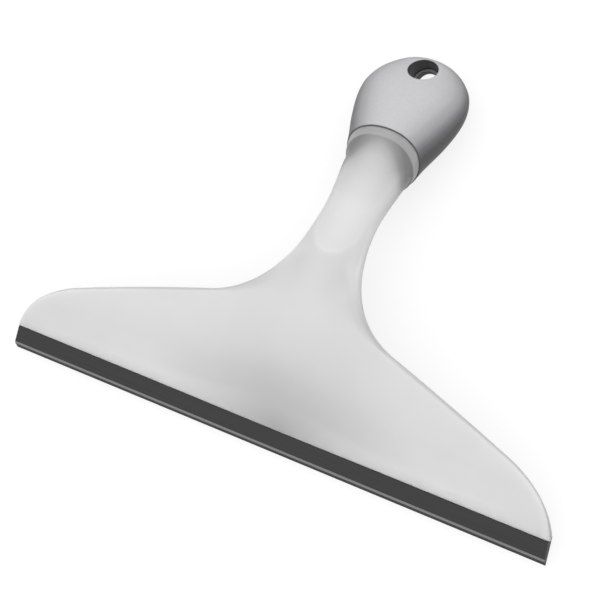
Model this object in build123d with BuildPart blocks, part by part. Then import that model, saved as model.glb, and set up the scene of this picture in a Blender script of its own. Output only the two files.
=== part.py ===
import os
from math import cos, radians, sin, sqrt

from build123d import *

os.makedirs("parts", exist_ok=True)

# Overall size. The squeegee lies face up, on the rubber's working edge and the belly of the grip.
# Distances are measured along the tool's own base line, which starts at the working edge and rises
# a little towards the grip, and heights are measured square to that line.
BLADE_LENGTH = 250.0
OVERALL_LENGTH = 184.0
TIP_HEIGHT = 8.2
REST_TILT = 0.96

# Rubber strip, seen along its length: flat face, bevel, nose, and a T-shaped foot
LIP_ANGLE = 34.0
LIP_FACE = 7.9
BEVEL_RUN = 2.4
BEVEL_DROP = 1.3
NOSE_RUN = 1.7
NOSE_DROP = 2.3
STRIP_ROOT = 6.0
NECK_THICKNESS = 1.8
NECK_DEPTH = 1.6
FOOT_THICKNESS = 3.6
FOOT_DEPTH = 2.0
FOOT_TRIM = 4.0
SLOT_GAP = 0.25
EDGE_THICKNESS = 6.4
STRIP_REACH = LIP_FACE + BEVEL_RUN + NOSE_RUN
STRIP_DROP = BEVEL_DROP + NOSE_DROP

# Top edge of the holder's front, where the rubber comes out
LIP_DISTANCE = STRIP_REACH * cos(radians(LIP_ANGLE)) - STRIP_DROP * sin(radians(LIP_ANGLE))
LIP_HEIGHT = STRIP_REACH * sin(radians(LIP_ANGLE)) + STRIP_DROP * cos(radians(LIP_ANGLE))

# Plan outline of head and neck: a round corner, a straight run, and two arcs into the neck.
# Angles are from the tool's length towards its middle.
CORNER_HALF_WIDTH = 126.5
CORNER_START = -1.3
CORNER_RADIUS = 31.0
RUN_ANGLE = 70.0
RUN_LENGTH = 70.5
SHOULDER_RADIUS = 41.0
SHOULDER_END = 16.0
WAIST_RADIUS = 75.0
WAIST_END = -12.0
NECK_TAIL = 28.0

# Cross-sections of head and neck
# (distance, side height, crown rise, crown half-width, flank angle, side thickness, belly drop)
HEAD_SECTIONS = [
    (2.0, 3.4, 0.0, 70.0, 0.0, 9.2, 0.0),
    (10.0, 11.6, 0.7, 68.0, 0.0, 8.8, 0.0),
    (17.0, 16.9, 2.2, 62.0, 0.0, 8.6, 0.0),
    (26.0, 21.8, 3.6, 56.0, 0.0, 6.0, 0.0),
    (38.0, 25.6, 4.6, 47.0, 0.0, 5.2, 0.3),
    (52.0, 27.2, 5.0, 37.0, 4.0, 5.2, 1.8),
    (66.0, 27.0, 5.5, 27.0, 16.0, 4.8, 4.4),
    (80.0, 26.6, 6.0, 17.0, 34.0, 4.4, 5.8),
    (95.0, 25.6, 6.2, 13.4, 46.0, 4.2, 6.2),
    (110.0, 23.2, 5.8, 14.2, 48.0, 4.2, 7.6),
    (124.0, 20.6, 5.4, 17.2, 44.0, 4.6, 9.4),
    (140.0, 18.0, 6.0, 22.0, 44.0, 5.0, 10.8),
]
BLANK_HALF_WIDTH = 132.0

# Oval cross-sections of collar and grip (distance, half-width, top, bottom)
GRIP_SECTIONS = [
    (96.0, 11.9, 31.6, 14.2),
    (110.0, 12.9, 30.8, 9.6),
    (122.0, 15.1, 30.0, 4.8),
    (134.0, 18.2, 29.0, 0.6),
    (146.0, 21.8, 27.2, -1.8),
    (156.0, 24.1, 25.0, -2.6),
    (164.0, 24.3, 22.6, -2.4),
    (172.0, 21.4, 18.6, -1.6),
    (178.0, 15.8, 14.8, 0.4),
    (182.0, 9.4, 12.2, 3.2),
    (OVERALL_LENGTH, 0.0, TIP_HEIGHT, TIP_HEIGHT),
]

# The ovals in between are even along the taper, and closer and closer round the end, which has a small flat
TAPER_START = 104.0
TAPER_BANDS = 20
ROUND_START = 148.0
ROUND_BANDS = 20
ROUND_TURN = 82.0

# Thumb scoop: its depth line along the neck (distance, height) and the height of the axis it is turned about
SCOOP_LINE = [
    (75.0, 35.0), (82.0, 32.2), (90.0, 29.8), (100.0, 27.5), (110.0, 25.8), (124.0, 24.4), (138.0, 24.0)
]
SCOOP_AXIS_HEIGHT = 120.0

# Seam between collar and grip: a plane that leans towards the grip's end at the top
SEAM_DISTANCE = 132.2
SEAM_HEIGHT = 19.8
SEAM_TILT = 50.0
BAND_WIDTH = 3.4
COLLAR_INSET = 0.4

# Tang of the holder inside the grip
TANG_ROOT_WIDTH = 22.0
TANG_ROOT_THICKNESS = 12.0
TANG_END_DISTANCE = 160.0
TANG_END_HEIGHT = 11.0
TANG_END_WIDTH = 13.0
TANG_END_THICKNESS = 5.0
TANG_CORNER = 1.5
TANG_GAP = 0.05

# Upright hanging hole through the grip's end: a wide mouth down to a ledge, and a narrower way through
HOLE_DISTANCE = 174.9
HOLE_RADIUS = 5.3
MOUTH_RADIUS = 6.6
LEDGE_HEIGHT = 7.4

# Working room for cuts below and above the piece
BELOW = 20.0
ABOVE = 60.0

# Base plane of the tool, with the middle of the footprint at the origin
END_DISTANCE = ROUND_START + (OVERALL_LENGTH - ROUND_START) * sin(radians(ROUND_TURN))
REST_LENGTH = END_DISTANCE * cos(radians(REST_TILT)) - TIP_HEIGHT * sin(radians(REST_TILT))
tool = Plane(
    origin=(0, -REST_LENGTH / 2, 0),
    x_dir=(1, 0, 0),
    z_dir=(0, -sin(radians(REST_TILT)), cos(radians(REST_TILT))),
)
long_section = Plane(origin=tool.origin, x_dir=tool.y_dir, z_dir=(1, 0, 0))


def at(distance, height):
    """Point in the middle of the tool."""
    return tool.from_local_coords((0, distance, height))


def towards(angle):
    """Direction in the long section, at an angle below the way to the working edge."""
    return (tool.y_dir * -cos(radians(angle))) - (tool.z_dir * sin(radians(angle)))


def across(distance):
    """Plane square to the tool's length, at a distance from the working edge."""
    return Plane(origin=at(distance, 0), x_dir=(1, 0, 0), z_dir=-tool.y_dir)


def heading(angle):
    """Direction in the plan, at an angle from the tool's length towards its middle."""
    return (-sin(radians(angle)), cos(radians(angle)))


def oval_sizes(distance):
    """Half-width, middle height and half-height of the oval form, smooth between the listed ovals."""
    last = len(squares) - 1
    index = min(max(k for k, row in enumerate(squares) if row[0] <= distance), last - 1)
    start = squares[index]
    end = squares[index + 1]
    before = squares[max(index - 1, 0)]
    after = squares[min(index + 2, last)]
    span = end[0] - start[0]
    t = (distance - start[0]) / span
    values = []
    for k in (1, 2, 3):
        leave = span * (end[k] - before[k]) / (end[0] - before[0])
        arrive = span * (after[k] - start[k]) / (after[0] - start[0])
        straight = start[k] * (1 + 2 * t) * (1 - t) ** 2 + end[k] * t ** 2 * (3 - 2 * t)
        values.append(straight + leave * t * (1 - t) ** 2 - arrive * t ** 2 * (1 - t))
    return sqrt(values[0]), values[1], sqrt(values[2])


def oval_form(inset):
    """Sections of the form that collar and grip share, drawn in all round by an inset."""
    ovals = []
    for distance in stations:
        half_width, middle, half_height = oval_sizes(distance)
        with BuildSketch(across(distance)) as oval:
            with Locations((0, middle)):
                Ellipse(half_width - inset, half_height - inset)
        ovals.append(oval.sketch)
    return ovals


def add_tang(gap, mode):
    """Tang in the part that is being built, larger by the gap all round."""
    with BuildSketch(seam) as root:
        RectangleRounded(TANG_ROOT_WIDTH + 2 * gap, TANG_ROOT_THICKNESS + 2 * gap, TANG_CORNER)
    with BuildSketch(across(TANG_END_DISTANCE + gap)) as end:
        with Locations((0, TANG_END_HEIGHT)):
            RectangleRounded(TANG_END_WIDTH + 2 * gap, TANG_END_THICKNESS + 2 * gap, TANG_CORNER)
    loft(sections=[root.sketch, end.sketch], mode=mode)


lip = Plane(origin=at(LIP_DISTANCE, LIP_HEIGHT), x_dir=towards(LIP_ANGLE), z_dir=(-1, 0, 0))
front_cut = Plane(origin=lip.origin, x_dir=(1, 0, 0), z_dir=lip.x_dir)
seam = Plane(origin=at(SEAM_DISTANCE, SEAM_HEIGHT), x_dir=(1, 0, 0), z_dir=towards(-SEAM_TILT))

# Ovals with their half-sizes squared, which change evenly round the closed end, and the places to make them
squares = [
    (distance, half_width ** 2, (top + bottom) / 2, ((top - bottom) / 2) ** 2)
    for distance, half_width, top, bottom in GRIP_SECTIONS
]
stations = [TAPER_START + (ROUND_START - TAPER_START) * k / TAPER_BANDS for k in range(TAPER_BANDS)]
for k in range(ROUND_BANDS + 1):
    turn = radians(ROUND_TURN * k / ROUND_BANDS)
    stations.append(ROUND_START + (OVERALL_LENGTH - ROUND_START) * sin(turn))

# Collar: the slice of the oval form just before the seam, a little lower than the grip
with BuildPart() as collar:
    loft(sections=oval_form(COLLAR_INSET), ruled=True)
    split(bisect_by=seam, keep=Keep.TOP)
    split(bisect_by=seam.offset(BAND_WIDTH), keep=Keep.BOTTOM)

# Holder: a crowned blank trimmed to the plan outline, with thumb scoop, collar, slot and tang
with BuildPart() as blade_holder:
    for distance, side, crown, spread, flank, thickness, belly in HEAD_SECTIONS:
        rise = (cos(radians(flank)), sin(radians(flank)))
        fall = (cos(radians(flank)), -sin(radians(flank)))
        under = side - thickness
        with BuildSketch(across(distance)):
            with BuildLine():
                Line((-BLANK_HALF_WIDTH, side), (-spread, side))
                Spline((-spread, side), (0, side + crown), (spread, side), tangents=[rise, fall])
                Line((spread, side), (BLANK_HALF_WIDTH, side))
                Line((BLANK_HALF_WIDTH, side), (BLANK_HALF_WIDTH, under))
                Line((BLANK_HALF_WIDTH, under), (spread, under))
                Spline((-spread, under), (0, under - belly), (spread, under), tangents=[fall, rise])
                Line((-spread, under), (-BLANK_HALF_WIDTH, under))
                Line((-BLANK_HALF_WIDTH, under), (-BLANK_HALF_WIDTH, side))
            make_face()
    loft()
    with BuildSketch(tool.offset(-BELOW)):
        with BuildLine():
            Line((0, CORNER_START), (CORNER_HALF_WIDTH, CORNER_START))
            corner = JernArc((CORNER_HALF_WIDTH, CORNER_START), heading(0), CORNER_RADIUS, RUN_ANGLE)
            run = PolarLine(corner @ 1, RUN_LENGTH, direction=heading(RUN_ANGLE))
            shoulder = JernArc(run @ 1, heading(RUN_ANGLE), SHOULDER_RADIUS, SHOULDER_END - RUN_ANGLE)
            waist = JernArc(shoulder @ 1, heading(SHOULDER_END), WAIST_RADIUS, WAIST_END - SHOULDER_END)
            tail = PolarLine(waist @ 1, NECK_TAIL, direction=heading(WAIST_END))
            Line(tail @ 1, (0, (tail @ 1).Y))
            Line((0, (tail @ 1).Y), (0, CORNER_START))
        make_face()
        mirror(about=Plane.YZ)
    extrude(amount=BELOW + ABOVE, mode=Mode.INTERSECT)
    split(bisect_by=front_cut, keep=Keep.BOTTOM)
    split(bisect_by=seam, keep=Keep.TOP)
    with BuildSketch(long_section):
        with BuildLine():
            scoop = Spline(SCOOP_LINE)
            front = ((scoop @ 0).X, SCOOP_AXIS_HEIGHT)
            back = ((scoop @ 1).X, SCOOP_AXIS_HEIGHT)
            Polyline(scoop @ 1, back, front, scoop @ 0)
        make_face()
    revolve(axis=Axis(at(0, SCOOP_AXIS_HEIGHT), tool.y_dir), mode=Mode.SUBTRACT)
    add(collar.part)
    with BuildSketch(lip):
        with Locations((0, -EDGE_THICKNESS / 2)):
            Rectangle(2 * (NECK_DEPTH + SLOT_GAP), NECK_THICKNESS + 2 * SLOT_GAP)
        with Locations((-NECK_DEPTH, -EDGE_THICKNESS / 2)):
            Rectangle(
                FOOT_DEPTH + 2 * SLOT_GAP, FOOT_THICKNESS + 2 * SLOT_GAP, align=(Align.MAX, Align.CENTER)
            )
    extrude(amount=BLADE_LENGTH, both=True, mode=Mode.SUBTRACT)
    add_tang(0, Mode.ADD)
blade_holder.part.label = "blade_holder"
export_step(blade_holder.part, "parts/blade_holder.step")

# Grip: soft bulb over the tang, with a stepped hole through its end
with BuildPart() as grip_bulb:
    loft(sections=oval_form(0), ruled=True)
    split(bisect_by=seam, keep=Keep.BOTTOM)
    add_tang(TANG_GAP, Mode.SUBTRACT)
    with Locations((0, tool.origin.Y + HOLE_DISTANCE, ABOVE)):
        CounterBoreHole(HOLE_RADIUS, MOUTH_RADIUS, ABOVE - LEDGE_HEIGHT)
grip_bulb.part.label = "grip_bulb"
export_step(grip_bulb.part, "parts/grip_bulb.step")

# Rubber strip: bevelled lip along the whole edge, with a T-foot in the slot that stops short of both ends
with BuildPart() as rubber_blade:
    with BuildSketch(lip):
        with BuildLine():
            Polyline(
                (SLOT_GAP, 0),
                (LIP_FACE, 0),
                (LIP_FACE + BEVEL_RUN, -BEVEL_DROP),
                (STRIP_REACH, -STRIP_DROP),
                (SLOT_GAP, -STRIP_ROOT),
                close=True,
            )
        make_face()
    extrude(amount=BLADE_LENGTH / 2, both=True)
    with BuildSketch(lip):
        with Locations((SLOT_GAP, -EDGE_THICKNESS / 2)):
            Rectangle(
                NECK_DEPTH + 2 * SLOT_GAP, NECK_THICKNESS, align=(Align.MAX, Align.CENTER)
            )
        with Locations((-NECK_DEPTH - SLOT_GAP, -EDGE_THICKNESS / 2)):
            Rectangle(FOOT_DEPTH, FOOT_THICKNESS, align=(Align.MAX, Align.CENTER))
    extrude(amount=BLADE_LENGTH / 2 - FOOT_TRIM, both=True)
rubber_blade.part.label = "rubber_blade"
export_step(rubber_blade.part, "parts/rubber_blade.step")
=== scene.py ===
from bisect import bisect_right
from math import cos, pi, radians, sin, sqrt, tan

import bpy
from mathutils import Euler, Matrix, Vector


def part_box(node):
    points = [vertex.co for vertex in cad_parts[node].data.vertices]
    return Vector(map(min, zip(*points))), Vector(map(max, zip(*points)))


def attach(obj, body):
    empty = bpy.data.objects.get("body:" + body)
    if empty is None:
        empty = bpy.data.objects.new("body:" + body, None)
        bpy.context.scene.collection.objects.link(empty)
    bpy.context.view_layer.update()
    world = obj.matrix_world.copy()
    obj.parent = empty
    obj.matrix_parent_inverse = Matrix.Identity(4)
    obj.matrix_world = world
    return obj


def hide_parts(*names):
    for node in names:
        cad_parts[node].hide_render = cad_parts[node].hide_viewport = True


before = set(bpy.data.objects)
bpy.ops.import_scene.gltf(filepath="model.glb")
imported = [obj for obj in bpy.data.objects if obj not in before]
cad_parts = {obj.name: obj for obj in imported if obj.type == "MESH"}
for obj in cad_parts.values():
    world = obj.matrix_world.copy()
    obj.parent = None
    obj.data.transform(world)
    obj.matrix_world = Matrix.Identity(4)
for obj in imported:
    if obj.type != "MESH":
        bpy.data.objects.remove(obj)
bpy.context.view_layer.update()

# Blade holder: one injection moulding in pale, slightly milky plastic. Its wide crowned head narrows into a
# neck with a thumb scoop, which flares to a collar band against the grip. The T-slot in its front edge takes
# the rubber and is open at both ends.

# Sizes are in millimetres along and above the tool's base line. It starts at the rubber's working edge and
# rises a little, because the tool rests on that edge and on the belly of the grip.
MM = 0.001
TILT = radians(0.96)
EDGE_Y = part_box("rubber_blade")[0][1]
BLADE_LENGTH = 250.0

# Cross-sections (along, side height, crown rise, crown half-width, flank angle, side thickness, belly drop)
HEAD_SECTIONS = [
    (2.0, 3.4, 0.0, 70.0, 0.0, 9.2, 0.0),
    (10.0, 11.6, 0.7, 68.0, 0.0, 8.8, 0.0),
    (17.0, 16.9, 2.2, 62.0, 0.0, 8.6, 0.0),
    (26.0, 21.8, 3.6, 56.0, 0.0, 6.0, 0.0),
    (38.0, 25.6, 4.6, 47.0, 0.0, 5.2, 0.3),
    (52.0, 27.2, 5.0, 37.0, 4.0, 5.2, 1.8),
    (66.0, 27.0, 5.5, 27.0, 16.0, 4.8, 4.4),
    (80.0, 26.6, 6.0, 17.0, 34.0, 4.4, 5.8),
    (95.0, 25.6, 6.2, 13.4, 46.0, 4.2, 6.2),
    (110.0, 23.2, 5.8, 14.2, 48.0, 4.2, 7.6),
    (124.0, 20.6, 5.4, 17.2, 44.0, 4.6, 9.4),
    (140.0, 18.0, 6.0, 22.0, 44.0, 5.0, 10.8),
]

# Plan outline of one side from the front corner to the collar: (length, turn towards the middle, steps)
CORNER_HALF_WIDTH = 126.5
CORNER_START = -1.3
OUTLINE = [
    (30.0 * radians(52.0), 52.0, 16),
    (55.0 * radians(18.0), 18.0, 12),
    (61.3, 1.8, 22),
    (41.2 * radians(57.3), -57.3, 30),
    (80.8 * radians(26.5), -26.5, 50),
    (28.0, 0.0, 20),
]

# Points across: even steps out to a share of the half-width, and then the rim. The rim is rounded, less below
# than above, and its rounding fades out between two numbers of rows before the collar.
INNER_SHARE = 0.75
INNER_STEPS = 15
RIM_RADIUS = 2.6
UNDER_RIM_SHARE = 0.6
RIM_SEGMENTS = 4
RIM_FADE_START = 30
RIM_FADE_END = 8

# Thumb scoop: its floor (along, height, hollow across), and how softly its end and its sides run out
SCOOP_FLOOR = [
    (76.0, 34.6, 0.0),
    (82.0, 32.2, 0.0),
    (90.0, 29.8, 0.0),
    (99.0, 27.6, -0.006),
    (110.0, 25.6, -0.012),
    (124.0, 24.2, -0.012),
    (140.0, 23.6, -0.012),
]
SCOOP_SOFT_END = 0.6
SCOOP_SOFT_SIDE = 2.4
SCOOP_END_ZONE = (84.0, 100.0)

# Collar and grip share one oval form (along, half-width, top, bottom), cut by a leaning seam. Its curves go
# through the squares of the half-width and half-height, which makes its end round.
GRIP_SECTIONS = [
    (96.0, 13.2, 31.6, 14.2),
    (110.0, 14.3, 30.8, 9.6),
    (122.0, 15.4, 30.0, 4.8),
    (134.0, 17.8, 29.0, 0.6),
    (146.0, 21.8, 27.2, -1.8),
    (156.0, 24.1, 25.0, -2.6),
    (164.0, 24.3, 22.6, -2.4),
    (172.0, 21.8, 18.7, -1.6),
    (178.0, 16.9, 15.1, 0.4),
    (182.0, 10.6, 12.6, 3.2),
    (184.0, 0.0, 8.2, 8.2),
]
OVAL_SQUARES = [
    (along, half_width ** 2, (top + low) / 2, ((top - low) / 2) ** 2)
    for along, half_width, top, low in GRIP_SECTIONS
]
SEAM_ALONG = 134.6
SEAM_HEIGHT = 19.8
SEAM_TILT = radians(38)

# Rows of points on the neck lean over more and more up to the collar, and the neck flares to it, late at the
# top and evenly at the sides. A few rounds settle where a leaning row meets the surface.
LEAN_START = 88.0
LEAN_ROUNDS = 12
ROW_STEP = 0.6
FLARE_START = 94.0
FLARE_POWER_TOP = 8.0
FLARE_POWER_SIDE = 1.0
FLARE_POWER_UNDER = 1.3

# Collar band: (distance before the seam, depth below the oval form), and how far the inner points and those
# on the rim go round the oval, as shares of a quarter turn
COLLAR_ROWS = [
    (3.6, 0.95), (3.45, 0.7), (3.25, 0.5), (2.9, 0.4), (1.6, 0.4), (0.3, 0.4), (0.1, 0.55), (0.0, 0.8),
]
COLLAR_SPREAD = 0.9
COLLAR_SIDE = 0.97

# Sloping front edge: the rubber reaches out of it and drops to the working edge. The T-slot is measured from
# its middle and into the edge, and its cutter starts a little outside.
LIP_ANGLE = radians(34)
LIP_REACH = 12.0
LIP_DROP = 3.6
LIP_ALONG = LIP_REACH * cos(LIP_ANGLE) - LIP_DROP * sin(LIP_ANGLE)
LIP_HEIGHT = LIP_REACH * sin(LIP_ANGLE) + LIP_DROP * cos(LIP_ANGLE)
SLOT_MIDDLE = -3.2
SLOT_NECK = 1.15
SLOT_FOOT = 2.05
SLOT_NECK_DEPTH = 1.6
SLOT_DEPTH = 4.1
SLOT_CLEAR = 1.0

# Points this close together become one, and edges sharper than this stay sharp
MERGE_WITHIN = 0.001
SMOOTH_ANGLE = radians(30)


def place(x, along, height):
    """Point in the frame, from millimetres across, along and above the tool's base line."""
    y = along * cos(TILT) - height * sin(TILT)
    z = along * sin(TILT) + height * cos(TILT)
    return Vector((x * MM, EDGE_Y + y * MM, z * MM))


def tilted(direction):
    """Direction in the frame, from one that is given on the tool's base line."""
    return Matrix.Rotation(TILT, 3, "X") @ Vector(direction)


def ramp(value, start, end):
    """Smooth change from 0 at the start to 1 at the end."""
    share = min(max((value - start) / (end - start), 0), 1)
    return share * share * (3 - 2 * share)


def smooth_row(rows, along):
    """Values at a distance along the tool, on a smooth curve through the listed rows."""
    last = len(rows) - 1
    at = min(max(bisect_right(rows, along, key=lambda row: row[0]) - 1, 0), last - 1)
    before, start, end, after = rows[max(at - 1, 0)], rows[at], rows[at + 1], rows[min(at + 2, last)]
    span = end[0] - start[0]
    t = (along - start[0]) / span
    values = []
    for k in range(1, len(start)):
        slope_in = span * (end[k] - before[k]) / (end[0] - before[0])
        slope_out = span * (after[k] - start[k]) / (after[0] - start[0])
        rest = start[k] * (1 + 2 * t) * (1 - t) ** 2 + end[k] * t * t * (3 - 2 * t)
        values.append(rest + slope_in * t * (1 - t) ** 2 + slope_out * t * t * (t - 1))
    return values


def skin(name, rows):
    """Grid laid over rows of points."""
    bpy.ops.object.select_all(action="DESELECT")
    bpy.ops.mesh.primitive_grid_add(x_subdivisions=len(rows[0]) - 1, y_subdivisions=len(rows) - 1)
    piece = bpy.context.object
    piece.name = name
    for vertex, point in zip(piece.data.vertices, [point for row in rows for point in row]):
        vertex.co = point
    return piece


def close_up(piece):
    """Merge the ends of rows that meet, close the open loops and turn all faces outwards."""
    bpy.context.view_layer.objects.active = piece
    bpy.ops.object.mode_set(mode="EDIT")
    bpy.ops.mesh.select_all(action="SELECT")
    bpy.ops.mesh.remove_doubles(threshold=MERGE_WITHIN * MM)
    bpy.ops.mesh.fill_holes(sides=0)
    bpy.ops.mesh.select_all(action="SELECT")
    bpy.ops.mesh.normals_make_consistent(inside=False)
    bpy.ops.object.mode_set(mode="OBJECT")


def cut_off(piece, point, normal):
    """Saw the piece at a plane and close the cut. What the normal points at comes off."""
    bpy.context.view_layer.objects.active = piece
    bpy.ops.object.mode_set(mode="EDIT")
    bpy.ops.mesh.select_all(action="SELECT")
    bpy.ops.mesh.bisect(plane_co=point, plane_no=normal, use_fill=True, clear_outer=True)
    bpy.ops.object.mode_set(mode="OBJECT")


def carve(piece, tool, operation):
    """Join the tool to the piece or take it away, and remove the tool."""
    bpy.context.view_layer.objects.active = piece
    boolean = piece.modifiers.new(operation.lower(), "BOOLEAN")
    boolean.operation = operation
    boolean.object = tool
    bpy.ops.object.modifier_apply(modifier=boolean.name)
    bpy.data.objects.remove(tool)


def smooth(piece):
    """Shade the piece as a smooth form, apart from its sharp edges."""
    bpy.ops.object.select_all(action="DESELECT")
    piece.select_set(True)
    bpy.context.view_layer.objects.active = piece
    bpy.ops.object.shade_smooth_by_angle(angle=SMOOTH_ANGLE)


def lip_point(x, out, up):
    """Point on the slope of the front edge: out along the rubber, up from its flat face."""
    along = LIP_ALONG - out * cos(LIP_ANGLE) - up * sin(LIP_ANGLE)
    return place(x, along, LIP_HEIGHT - out * sin(LIP_ANGLE) + up * cos(LIP_ANGLE))


def bar(name, profile, half_length, spread=0.0):
    """Bar along the front edge with a profile of (out, up) points. Its ends spread for each step out."""
    loop = profile + profile[:1]
    rows = [[lip_point(side * (half_length + spread * out), out, up) for out, up in loop] for side in (-1, 1)]
    piece = skin(name, rows)
    close_up(piece)
    return piece


def tee(start, neck_depth, depth, neck, foot):
    """Profile of a T that lies in the front edge, with the half-heights of its neck and foot."""
    upper = [(start, neck), (-neck_depth, neck), (-neck_depth, foot), (-depth, foot)]
    above = [(out, SLOT_MIDDLE + up) for out, up in upper]
    below = [(out, SLOT_MIDDLE - up) for out, up in upper]
    return above + below[::-1]


def shell_height(x, along, over):
    """Height of the head or neck over or under a point of its plan, with the scoop in the upper side."""
    side, crown, spread, flank, thickness, belly = smooth_row(HEAD_SECTIONS, along)
    t = min(abs(x) / spread, 1)
    hump = 1 - 3 * t * t + 2 * t ** 3
    bulge = tan(radians(flank)) * spread * (t * t - t ** 3)
    if not over:
        return side - thickness - belly * hump - bulge
    top = side + crown * hump + bulge
    if along < SCOOP_FLOOR[0][0]:
        return top
    height, hollow = smooth_row(SCOOP_FLOOR, along)
    floor = height + hollow * x * x
    soft = SCOOP_SOFT_END + (SCOOP_SOFT_SIDE - SCOOP_SOFT_END) * ramp(along, *SCOOP_END_ZONE)
    share = min(max(0.5 + 0.5 * (floor - top) / soft, 0), 1)
    return floor + (top - floor) * share - soft * share * (1 - share)


def neck_point(share, over, along, lean):
    """Point of the head or neck where a leaning row meets it, at a share of the half-width."""
    height = SEAM_HEIGHT
    for _ in range(LEAN_ROUNDS):
        station = along + lean * (height - SEAM_HEIGHT)
        x = share * smooth_row(outline, station)[0]
        height = shell_height(x, station, over)
    return place(x, station, height)


def collar_point(share, over, along, inset):
    """Point of the oval form where a row that leans as the seam does meets it, drawn in by an inset."""
    quarter = share * COLLAR_SIDE if abs(share) == 1 else share * COLLAR_SPREAD / INNER_SHARE
    angle = quarter * pi / 2
    height = SEAM_HEIGHT
    for _ in range(LEAN_ROUNDS):
        station = along + tan(SEAM_TILT) * (height - SEAM_HEIGHT)
        width, centre, tall = smooth_row(OVAL_SQUARES, station)
        rise = (sqrt(tall) - inset) * cos(angle)
        height = centre + rise if over else centre - rise
    return place((sqrt(width) - inset) * sin(angle), station, height)


outline = [(CORNER_START, CORNER_HALF_WIDTH)]
heading = 0.0
for stretch, bend, steps in OUTLINE:
    stride = stretch / steps
    for step in range(steps):
        heading += radians(bend) / steps / 2
        along, half_width = outline[-1]
        outline.append((along + cos(heading) * stride, half_width - sin(heading) * stride))
        heading += radians(bend) / steps / 2

# Rings of points round the moulding: over the top from right to left, and back below
inner = [INNER_SHARE * step / INNER_STEPS for step in range(INNER_STEPS, -INNER_STEPS - 1, -1)]
top_side = [(share, True) for share in [1, *inner, -1]]
under_side = [(share, False) for share in [-1, *inner[::-1], 1]]
ring = [*top_side, *under_side, top_side[0]]
band_start = SEAM_ALONG - COLLAR_ROWS[0][0] / cos(SEAM_TILT)
rows = []
for along, _ in outline:
    if along < LEAN_START:
        rows.append([neck_point(share, over, along, 0) for share, over in ring])
for step in range(int((band_start - LEAN_START) / ROW_STEP)):
    along = LEAN_START + step * ROW_STEP
    lean = tan(SEAM_TILT) * ramp(along, LEAN_START, band_start)
    flared = max((along - FLARE_START) / (band_start - FLARE_START), 0)
    row = []
    for share, over in ring:
        power = FLARE_POWER_UNDER
        if over:
            power = FLARE_POWER_TOP + (FLARE_POWER_SIDE - FLARE_POWER_TOP) * share * share
        point = neck_point(share, over, along, lean)
        if flared:
            on_collar = collar_point(share, over, along, COLLAR_ROWS[0][1])
            point = point.lerp(on_collar, flared ** power)
        row.append(point)
    rows.append(row)
neck_rows = len(rows)
for distance, inset in COLLAR_ROWS:
    along = SEAM_ALONG - distance / cos(SEAM_TILT)
    rows.append([collar_point(share, over, along, inset) for share, over in ring])
holder = skin("blade_holder_moulding", rows)

# Round the rim along the outline, above and below
columns = len(ring)
rim_shares = {column: 1.0 for column in (0, len(top_side) - 1, columns - 1)}
rim_shares.update({column: UNDER_RIM_SHARE for column in (len(top_side), columns - 2)})
weights = holder.data.attributes.new("bevel_weight_edge", "FLOAT", "EDGE")
for edge in holder.data.edges:
    first, second = [corner % columns for corner in edge.vertices]
    if first == second:
        at_row = max(edge.vertices) // columns
        fade = ramp(at_row, neck_rows - RIM_FADE_START, neck_rows - RIM_FADE_END)
        weights.data[edge.index].value = rim_shares.get(first, 0.0) * (1 - fade)
close_up(holder)
rim = holder.modifiers.new("rim", "BEVEL")
rim.limit_method = "WEIGHT"
rim.width = RIM_RADIUS * MM
rim.segments = RIM_SEGMENTS
bpy.ops.object.modifier_apply(modifier=rim.name)

# Trim the front and carve the slot, with a cutter that is longer than the head
cut_off(holder, place(0, LIP_ALONG, LIP_HEIGHT), tilted((0, -cos(LIP_ANGLE), -sin(LIP_ANGLE))))
slot_profile = tee(SLOT_CLEAR, SLOT_NECK_DEPTH, SLOT_DEPTH, SLOT_NECK, SLOT_FOOT)
carve(holder, bar("slot", slot_profile, BLADE_LENGTH), "DIFFERENCE")
smooth(holder)


def srgb(red, green, blue):
    """Colour for a shader from the 0 to 255 numbers of a picture."""
    channels = [value / 255 for value in (red, green, blue)]
    return [c / 12.92 if c <= 0.04045 else ((c + 0.055) / 1.055) ** 2.4 for c in channels] + [1.0]


def greys(tones):
    """Stops of (value, colour) from tones of (value, grey from 0 to 255)."""
    return [(at, srgb(grey, grey, grey)) for at, grey in tones]


def shades(tones):
    """Stops of (value, colour) from tones of (value, level from 0 to 1)."""
    return [(at, (level, level, level, 1.0)) for at, level in tones]


def new_finish(name, roughness):
    """New material of a roughness, with its nodes and its shader."""
    material = bpy.data.materials.new(name)
    material.use_nodes = True
    shader = material.node_tree.nodes["Principled BSDF"]
    shader.inputs["Roughness"].default_value = roughness
    return material, material.node_tree, shader


def toned(tree, value, stops):
    """Colour that follows a value through the listed stops of (value, colour)."""
    low, high = stops[0][0], stops[-1][0]
    share = tree.nodes.new("ShaderNodeMapRange")
    share.inputs["From Min"].default_value = low
    share.inputs["From Max"].default_value = high
    tree.links.new(value, share.inputs["Value"])
    scale = tree.nodes.new("ShaderNodeValToRGB")
    for at, _ in stops[1:-1]:
        scale.color_ramp.elements.new((at - low) / (high - low))
    for stop, (_, colour) in zip(scale.color_ramp.elements, stops):
        stop.color = colour
    tree.links.new(share.outputs[0], scale.inputs["Fac"])
    return scale.outputs["Color"]


def times(tree, first, second):
    """Product of two colours."""
    product = tree.nodes.new("ShaderNodeMix")
    product.data_type = "RGBA"
    product.blend_type = "MULTIPLY"
    product.inputs["Factor"].default_value = 1.0
    tree.links.new(first, product.inputs["A"])
    tree.links.new(second, product.inputs["B"])
    return product.outputs["Result"]


def darkened(tree, colour, value, tones):
    """Colour times a level that follows a value through tones of (value, level)."""
    return times(tree, colour, toned(tree, value, shades(tones)))


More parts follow.
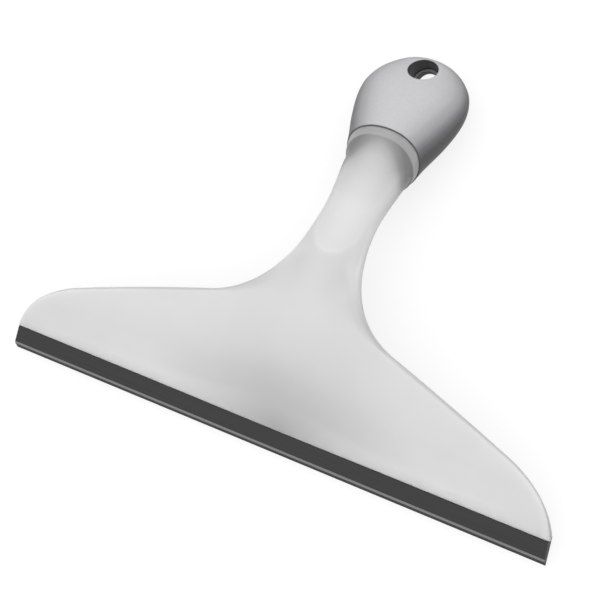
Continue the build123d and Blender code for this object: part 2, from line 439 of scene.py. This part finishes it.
def blended(tree, first, second, share):
    """Mix of two colours, with a share of the second."""
    mix = tree.nodes.new("ShaderNodeMix")
    mix.data_type = "RGBA"
    tree.links.new(first, mix.inputs["A"])
    tree.links.new(second, mix.inputs["B"])
    tree.links.new(share, mix.inputs["Factor"])
    return mix.outputs["Result"]


def along_axis(tree, vector, direction):
    """Share of a vector along a direction."""
    product = tree.nodes.new("ShaderNodeVectorMath")
    product.operation = "DOT_PRODUCT"
    product.inputs[1].default_value = direction
    tree.links.new(vector, product.inputs[0])
    return product.outputs["Value"]


def reckoned(tree, operation, *values):
    """Result of an operation on numbers and on outputs of other nodes."""
    node = tree.nodes.new("ShaderNodeMath")
    node.operation = operation
    for socket, value in zip(node.inputs, values):
        if isinstance(value, float):
            socket.default_value = value
        else:
            tree.links.new(value, socket)
    return node.outputs[0]


def measured(tree, vector, centre, size):
    """Vector from a centre, in units of a size along each axis."""
    mapping = tree.nodes.new("ShaderNodeMapping")
    mapping.vector_type = "TEXTURE"
    mapping.inputs["Location"].default_value = centre
    mapping.inputs["Scale"].default_value = size
    tree.links.new(vector, mapping.inputs["Vector"])
    return mapping.outputs[0]


def noise(tree, vector, scale=1.0):
    """Soft random pattern, finer with a larger scale."""
    pattern = tree.nodes.new("ShaderNodeTexNoise")
    pattern.inputs["Scale"].default_value = scale
    tree.links.new(vector, pattern.inputs["Vector"])
    return pattern.outputs["Fac"]


# Milky plastic, with light and shade painted into its colour: painted light makes the head palest on its
# front slope, and painted shade makes it darker at its rim and greyer over its middle. Painted light makes
# the neck palest on its flanks, and painted shade darkens the sides of the scoop and the hollow near the
# collar, where it is also greyer over the tang.
HOLDER_ROUGHNESS = 0.42
GLOW_DEPTH = 4 * MM

# Painted light and shade of the head and the neck: greys by how nearly the surface faces as the front slope
# does
FACING_FROM = (0, -0.743, 0.669)
HEAD_PAINTED_LIGHT = [
    (-1.0, 225), (-0.1, 200), (0.1, 196), (0.4, 199), (0.52, 202), (0.59, 208),
    (0.645, 217), (0.862, 221), (0.943, 221), (0.982, 225), (0.996, 235), (1.0, 237),
]
NECK_PAINTED_LIGHT = [
    (-1.0, 245), (-0.1, 255), (0.1, 252), (0.3, 232), (0.4, 226), (0.515, 227),
    (0.669, 217), (0.862, 221), (1.0, 221),
]

# Where the neck's grey takes over along the tool, and the painted shade at its sides, by the distance from
# the middle
NECK_START = [(58.0, 0.0), (78.0, 1.0)]
SIDE_PAINTED_SHADE = [(0.0, 1.0), (4.0, 0.98), (6.0, 0.953), (8.0, 0.925), (10.0, 0.91), (12.0, 0.925), (15.0, 0.97)]
SIDE_LIMIT = 15.0

# Painted shade over the middle of the head, near its front edge
MIDDLE_PAINTED_SHADE = [(0.0, 1.0), (1.0, 0.54)]
MIDDLE_SHADE_PLACE = place(5, 7, 9)
MIDDLE_SHADE_SIZE = Vector((78, 52, 150)) * MM

# Painted shade in the hollow before the collar band, which is partly also the grey of the tang showing
# through, and the band itself, by the distance to the seam. At the sides the hollow's painted shade reaches
# further forward, with the square of the distance from the middle.
COVE_PAINTED_SHADE = [
    (-33.6, 1.0), (-22.1, 0.96), (-13.8, 0.9), (-9.6, 0.82), (-6.4, 0.66), (-4.5, 0.5), (0.0, 0.36),
]
COVE_BEND = 45.0
BAND_START = [(-4.5, 0.0), (-4.1, 1.0)]
BAND_TONES = [(-4.2, 0.58), (-0.7, 0.58), (-0.3, 0.36), (0.0, 0.36)]

# Faint clouds in the plastic
CLOUD_SCALE = 40.0
CLOUD_TONES = [(0.3, 0.97), (0.7, 1.0)]

holder_plastic, tree, shader = new_finish("holder_plastic", HOLDER_ROUGHNESS)
shader.inputs["Subsurface Weight"].default_value = 1.0
shader.inputs["Subsurface Radius"].default_value = (1, 1, 1)
shader.inputs["Subsurface Scale"].default_value = GLOW_DEPTH
spot = tree.nodes.new("ShaderNodeTexCoord")
# Painted light and shade, by the way the surface faces
facing = along_axis(tree, spot.outputs["Normal"], FACING_FROM)
head_colour = toned(tree, facing, greys(HEAD_PAINTED_LIGHT))
neck_colour = toned(tree, facing, greys(NECK_PAINTED_LIGHT))
sideways = along_axis(tree, spot.outputs["Object"], (1, 0, 0))
side_square = reckoned(tree, "MULTIPLY", sideways, sideways)
side_square = reckoned(tree, "MINIMUM", side_square, (SIDE_LIMIT * MM) ** 2)
side_shade_stops = [((at * MM) ** 2, level) for at, level in SIDE_PAINTED_SHADE]
# Painted shade towards the sides of the neck
neck_colour = darkened(tree, neck_colour, side_square, side_shade_stops)
lengthwise = tilted((0, 1, 0))
neck_start = [(lengthwise.dot(place(0, at, 0)), share) for at, share in NECK_START]
neck_share = toned(tree, along_axis(tree, spot.outputs["Object"], lengthwise), shades(neck_start))
colour = blended(tree, head_colour, neck_colour, neck_share)
# Painted shade over the middle of the head
painted_shade_patch = tree.nodes.new("ShaderNodeTexGradient")
painted_shade_patch.gradient_type = "QUADRATIC_SPHERE"
from_middle = measured(tree, spot.outputs["Object"], MIDDLE_SHADE_PLACE, MIDDLE_SHADE_SIZE)
tree.links.new(from_middle, painted_shade_patch.inputs["Vector"])
colour = darkened(tree, colour, painted_shade_patch.outputs["Fac"], MIDDLE_PAINTED_SHADE)
slant = tilted((0, 1, -tan(SEAM_TILT)))
cove_shade_stops, band_stops, start_stops = [
    shades([(slant.dot(place(0, SEAM_ALONG + at, SEAM_HEIGHT)), level) for at, level in tones])
    for tones in (COVE_PAINTED_SHADE, BAND_TONES, BAND_START)
]
to_seam = along_axis(tree, spot.outputs["Object"], slant)
# Painted shade in the hollow before the collar, partly the grey of the tang
cove_shade = toned(tree, reckoned(tree, "MULTIPLY_ADD", side_square, COVE_BEND, to_seam), cove_shade_stops)
band = toned(tree, to_seam, band_stops)
colour = times(tree, colour, blended(tree, cove_shade, band, toned(tree, to_seam, start_stops)))
colour = darkened(tree, colour, noise(tree, spot.outputs["Object"], CLOUD_SCALE), CLOUD_TONES)
tree.links.new(colour, shader.inputs["Base Color"])
holder.data.materials.append(holder_plastic)
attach(holder, "holder")
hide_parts("blade_holder")

# Grip: a silver-grey bulb moulded over the tang of the holder. It meets the collar at the leaning seam, where
# it stands a little proud, and a stepped round hole goes through its end for hanging.
OVAL_SIDES = 72
OVAL_START = 100.0
OVAL_STEP = 1.5
OVAL_STEPS = 55
END_STATIONS = [182.3, 183.0, 183.4, 183.6]

# The hole is upright: (radius, height above the table)
HOLE_ALONG = 174.9
HOLE_STEPS = [(6.7, 60.0), (6.5, 7.4), (5.5, 7.4), (5.5, -5.0)]
HOLE_SIDES = 64
EDGE_ROUND = 0.5
EDGE_SEGMENTS = 3
EDGE_ANGLE = radians(50)


def full_turn(sides):
    """Angles round a closed loop, from its first point back to it."""
    return [2 * pi * side / sides for side in range(sides + 1)]


grip_rows = []
for along in [OVAL_START + OVAL_STEP * step for step in range(OVAL_STEPS)] + END_STATIONS:
    width, centre, tall = [max(value, 0) for value in smooth_row(OVAL_SQUARES, along)]
    grip_rows.append([
        place(sqrt(width) * cos(angle), along, centre + sqrt(tall) * sin(angle))
        for angle in full_turn(OVAL_SIDES)
    ])
grip = skin("grip_bulb_moulding", grip_rows)
close_up(grip)
cut_off(grip, place(0, SEAM_ALONG, SEAM_HEIGHT), tilted((0, -cos(SEAM_TILT), sin(SEAM_TILT))))
hole_y = EDGE_Y + HOLE_ALONG * MM
hole_rows = []
for radius, height in HOLE_STEPS:
    hole_rows.append([
        Vector((radius * cos(angle) * MM, hole_y + radius * sin(angle) * MM, height * MM))
        for angle in full_turn(HOLE_SIDES)
    ])
hole = skin("hole", hole_rows)
close_up(hole)
carve(grip, hole, "DIFFERENCE")
edges = grip.modifiers.new("edges", "BEVEL")
edges.limit_method = "ANGLE"
edges.angle_limit = EDGE_ANGLE
edges.width = EDGE_ROUND * MM
edges.segments = EDGE_SEGMENTS
bpy.ops.object.modifier_apply(modifier=edges.name)
smooth(grip)

# Silver-grey plastic with painted light and shade: it is brightest where it faces up and much darker on its
# sides.
# The hole has painted shade inside, and its tones go by the distance from its axis at any height.
GRIP_ROUGHNESS = 0.45
GRIP_SPECULAR = 0.3
GRIP_COLOUR = srgb(200, 200, 202)
GRIP_FACING = (0, 0.3, 0.954)
GRIP_PAINTED_LIGHT = [
    (-1.0, 0.17), (0.0, 0.17), (0.33, 0.18), (0.575, 0.3), (0.7, 0.46), (0.775, 0.6),
    (0.87, 0.73), (0.9, 0.82), (0.94, 0.9), (0.967, 0.96), (0.99, 1.0), (1.0, 1.0),
]
FLAKE_SCALE = 900.0
FLAKE_TONES = [(0.3, 0.95), (0.7, 1.0)]
HOLE_PAINTED_SHADE = [(6.6, 0.8), (7.0, 1.0)]
ANY_HEIGHT = 1e6

grip_plastic, tree, shader = new_finish("grip_plastic", GRIP_ROUGHNESS)
shader.inputs["Specular IOR Level"].default_value = GRIP_SPECULAR
spot = tree.nodes.new("ShaderNodeTexCoord")
# Painted light and shade, by the way the grip faces
facing = along_axis(tree, spot.outputs["Normal"], GRIP_FACING)
grip_light_stops = [(at, [channel * level for channel in GRIP_COLOUR[:3]] + [1.0]) for at, level in GRIP_PAINTED_LIGHT]
colour = toned(tree, facing, grip_light_stops)
colour = darkened(tree, colour, noise(tree, spot.outputs["Object"], FLAKE_SCALE), FLAKE_TONES)
# Painted shade inside the hanging hole
from_axis = tree.nodes.new("ShaderNodeVectorMath")
from_axis.operation = "LENGTH"
in_plan = measured(tree, spot.outputs["Object"], (0, hole_y, 0), (MM, MM, ANY_HEIGHT))
tree.links.new(in_plan, from_axis.inputs[0])
colour = darkened(tree, colour, from_axis.outputs["Value"], HOLE_PAINTED_SHADE)
tree.links.new(colour, shader.inputs["Base Color"])
grip.data.materials.append(grip_plastic)
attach(grip, "holder")
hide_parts("grip_bulb")

# Rubber blade: one dark extruded strip with a flat face and a bevelled working edge. Its T-foot is pushed
# into the slot from one end and stops short of both ends.

# Lip (out, up), with ends that spread towards the working edge, and the foot, from its middle as the slot is
LIP_PROFILE = [(0.25, 0.0), (7.9, 0.0), (9.3, -0.7), (LIP_REACH, -LIP_DROP), (0.25, -6.0)]
ROOT_HALF_LENGTH = 123.9
END_SPREAD = 0.095
FOOT_START = 0.5
FOOT_NECK = 0.9
FOOT_HALF = 1.8
FOOT_NECK_DEPTH = 1.85
FOOT_DEPTH = 3.85
FOOT_TRIM = 4.0
blade = bar("rubber_strip", LIP_PROFILE, ROOT_HALF_LENGTH, END_SPREAD)
foot_profile = tee(FOOT_START, FOOT_NECK_DEPTH, FOOT_DEPTH, FOOT_NECK, FOOT_HALF)
carve(blade, bar("foot", foot_profile, BLADE_LENGTH / 2 - FOOT_TRIM), "UNION")

# Dark rubber: dull on its moulded faces, with a painted highlight that makes the bevel paler and painted
# shade that makes the nose below it nearly black, and faint streaks along the strip
RUBBER_ROUGHNESS = 0.6
RUBBER_SPECULAR = 0.2
FRONT = (0, -1, 0)
FACE_PAINTED_LIGHT = [(-1.0, 63), (0.7, 63), (0.82, 144), (0.92, 144), (0.97, 24), (1.0, 24)]
STREAK_SIZE = Vector((40, 0.5, 0.5)) * MM
STREAK_TONES = [(0.3, 0.86), (0.7, 1.0)]

blade_rubber, tree, shader = new_finish("blade_rubber", RUBBER_ROUGHNESS)
shader.inputs["Specular IOR Level"].default_value = RUBBER_SPECULAR
spot = tree.nodes.new("ShaderNodeTexCoord")
# Painted highlight on the bevel and painted shade on the nose, by the way each face turns
colour = toned(tree, along_axis(tree, spot.outputs["Normal"], FRONT), greys(FACE_PAINTED_LIGHT))
streaks = noise(tree, measured(tree, spot.outputs["Object"], (0, 0, 0), STREAK_SIZE))
colour = darkened(tree, colour, streaks, STREAK_TONES)
tree.links.new(colour, shader.inputs["Base Color"])
blade.data.materials.append(blade_rubber)
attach(blade, "strip")
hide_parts("rubber_blade")

# Table and light: a plain pale table in a white room, lit by a broad soft ceiling and somewhat dimmer walls.
# What the camera, mirrors and glass see of the table and the room is white.
FLOOR_SIZE = 6.0
FLOOR_GREY = srgb(135, 135, 135)
FLOOR_ROUGHNESS = 1.0
FLOOR_SPECULAR = 0.0
FLOOR_GLOW = 0.78
WALL_LEVEL = 0.8
CEILING_LEVEL = 1.21
CEILING_RISE = (0.2, 0.9)
WHITE = (1, 1, 1, 1)


def seen(tree):
    """1 for the rays from the camera, mirrors and glass, and 0 for the rays that carry light."""
    rays = tree.nodes.new("ShaderNodeLightPath")
    mirrored = reckoned(tree, "MAXIMUM", rays.outputs["Is Glossy Ray"], rays.outputs["Is Transmission Ray"])
    return reckoned(tree, "MAXIMUM", rays.outputs["Is Camera Ray"], mirrored)


bpy.ops.object.select_all(action="DESELECT")
bpy.ops.mesh.primitive_plane_add(size=FLOOR_SIZE)
floor = bpy.context.object
floor.name = "floor"
floor_paint, tree, shader = new_finish("floor_paint", FLOOR_ROUGHNESS)
shader.inputs["Base Color"].default_value = FLOOR_GREY
shader.inputs["Specular IOR Level"].default_value = FLOOR_SPECULAR
shader.inputs["Emission Color"].default_value = WHITE
glow = reckoned(tree, "MULTIPLY", seen(tree), FLOOR_GLOW)
tree.links.new(glow, shader.inputs["Emission Strength"])
floor.data.materials.append(floor_paint)

world = bpy.data.worlds.new("studio")
world.use_nodes = True
bpy.context.scene.world = world
tree = world.node_tree
sight = tree.nodes.new("ShaderNodeTexCoord")
parts = tree.nodes.new("ShaderNodeSeparateXYZ")
tree.links.new(sight.outputs["Generated"], parts.inputs[0])
ceiling = tree.nodes.new("ShaderNodeMapRange")
ceiling.interpolation_type = "SMOOTHSTEP"
ceiling.inputs["From Min"].default_value = CEILING_RISE[0]
ceiling.inputs["From Max"].default_value = CEILING_RISE[1]
ceiling.inputs["To Min"].default_value = WALL_LEVEL
ceiling.inputs["To Max"].default_value = CEILING_LEVEL
tree.links.new(parts.outputs["Z"], ceiling.inputs["Value"])
room = tree.nodes.new("ShaderNodeMix")
room.inputs["B"].default_value = 1.0
tree.links.new(seen(tree), room.inputs["Factor"])
tree.links.new(ceiling.outputs[0], room.inputs["A"])
background = tree.nodes["Background"]
background.inputs["Color"].default_value = WHITE
tree.links.new(room.outputs["Result"], background.inputs["Strength"])

# Camera: the photograph's viewpoint, above the front right corner, with a long lens. Its place is measured
# from the middle of the rubber's working edge, and its turn is in degrees.
CAMERA_PLACE = (201.81, -74.93, 589.84)
CAMERA_TURN = (19.818, 12.946, 25.09)
LENS = 90
SENSOR = 36
camera = bpy.data.objects.new("camera", bpy.data.cameras.new("camera"))
camera.data.lens = LENS
camera.data.sensor_width = SENSOR
camera_spot = Vector((0, EDGE_Y, 0)) + Vector(CAMERA_PLACE) * MM
camera_turn = Euler([radians(angle) for angle in CAMERA_TURN])
camera.matrix_world = Matrix.LocRotScale(camera_spot, camera_turn, None)
bpy.context.collection.objects.link(camera)
bpy.context.scene.camera = camera
bpy.context.scene.view_settings.view_transform = "Standard"
